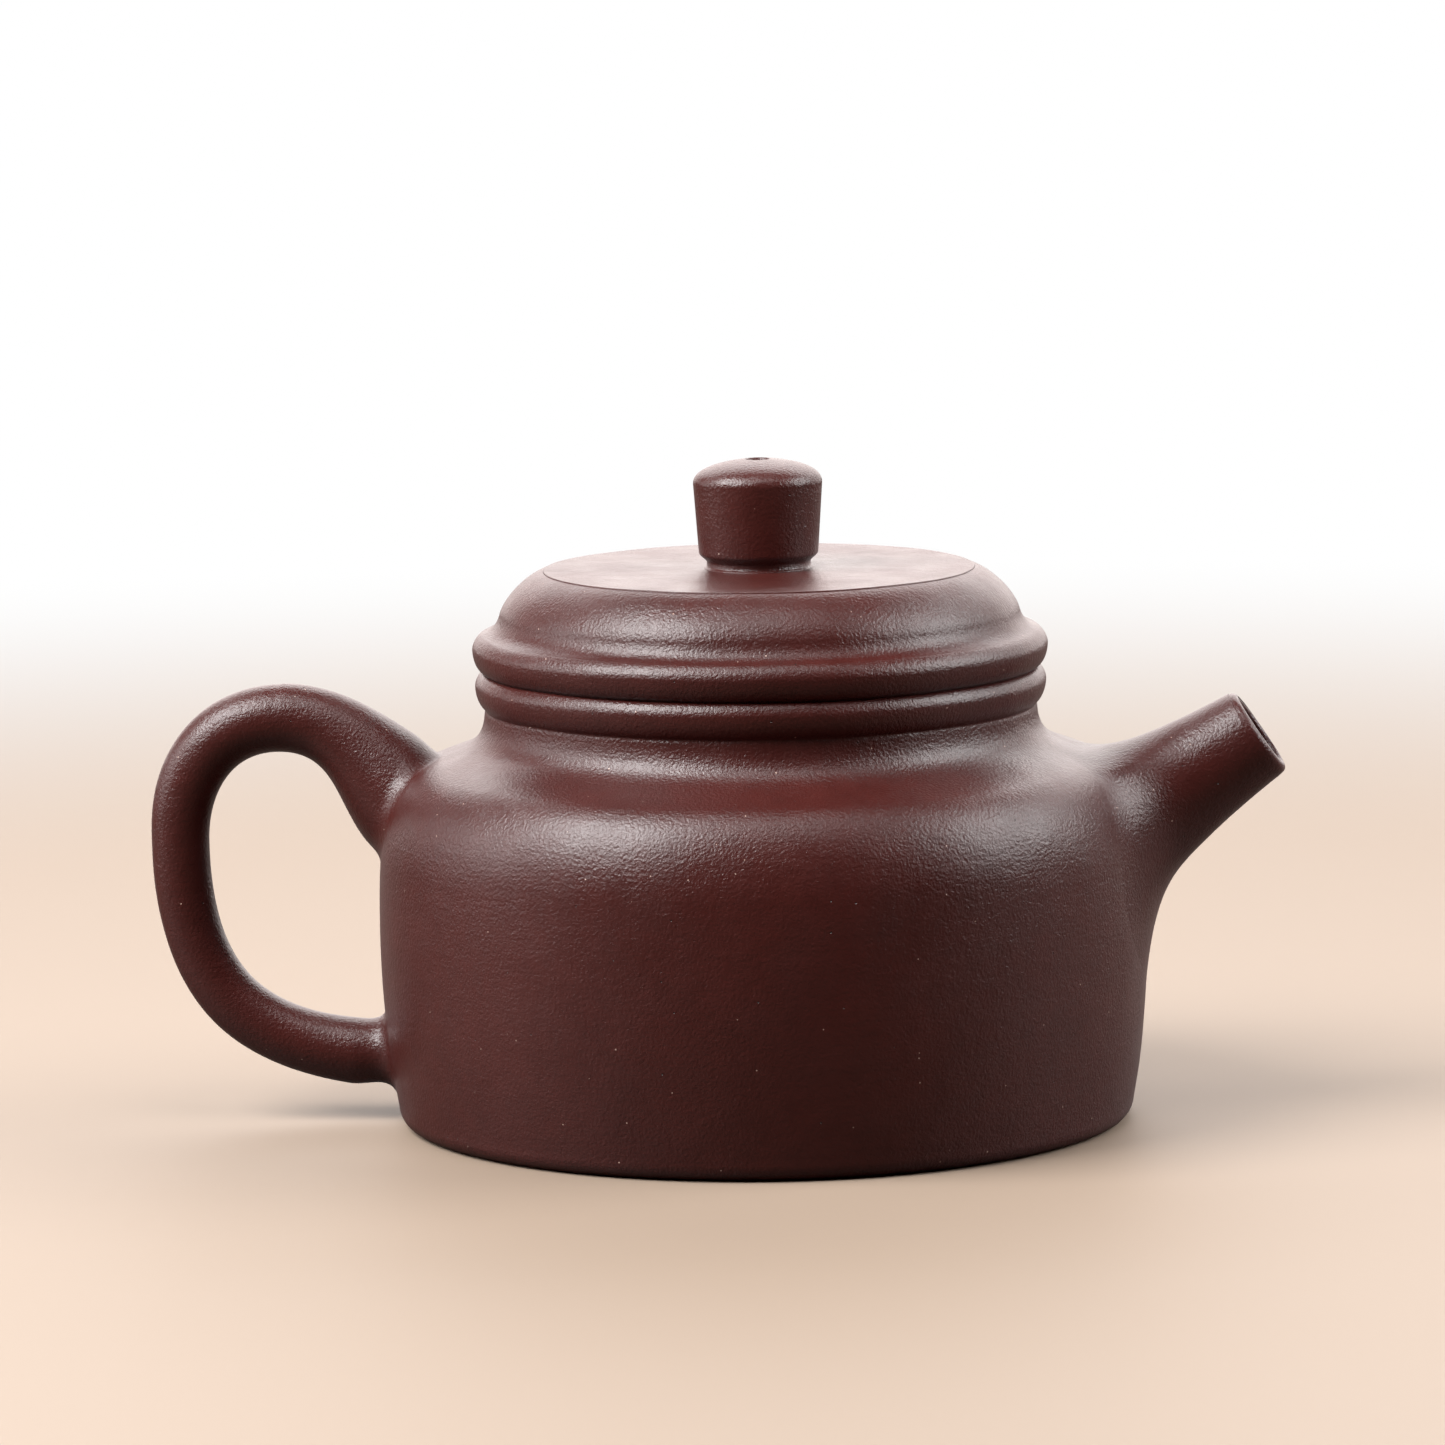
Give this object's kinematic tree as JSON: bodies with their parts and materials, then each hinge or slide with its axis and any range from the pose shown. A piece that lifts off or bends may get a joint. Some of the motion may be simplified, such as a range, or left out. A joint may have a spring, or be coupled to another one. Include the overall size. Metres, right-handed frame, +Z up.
{
  "type": "yixing clay teapot",
  "caption": "Low drum-bodied unglazed clay teapot with a straight spout, a curved ear handle and a lift-off turning lid with a round knob.",
  "frame": {"origin": "centre of the flat base, on the axis of the round body, at the surface the pot stands on", "axes": "+Z up along the body and lid axis, +X towards the spout, the handle towards -X, +Y to the left of the pouring direction"},
  "size_m": [0.1391, 0.094, 0.0809],
  "materials": {
    "burnished_clay": "unglazed purple-brown stoneware, burnished to a satin sheen",
    "plain_clay": "unglazed purple-brown stoneware, scraped and matt"
  },
  "bodies": {
    "pot": {"base_plate": "burnished_clay", "body_wall": "burnished_clay", "shoulder_plate": "burnished_clay", "neck_ring": "burnished_clay", "mouth_rim": "burnished_clay", "spout": "burnished_clay", "strainer": "plain_clay", "handle": "burnished_clay"},
    "lid_lift": {"lid_flange": "plain_clay"},
    "lid": {"lid_cover": "burnished_clay", "lid_top_disc": "burnished_clay", "lid_rim_bead": "burnished_clay", "knob": "burnished_clay"}
  },
  "joints": [
    {"name": "lid_lifts_off", "type": "slide", "parent": "pot", "child": "lid_lift", "axis": [0, 0, 1], "range_m": [0, 0.045]},
    {"name": "lid_turns", "type": "hinge", "parent": "lid_lift", "child": "lid", "pos_m": [0, 0, 0.0554], "axis": [0, 0, 1], "continuous": true}
  ]
}
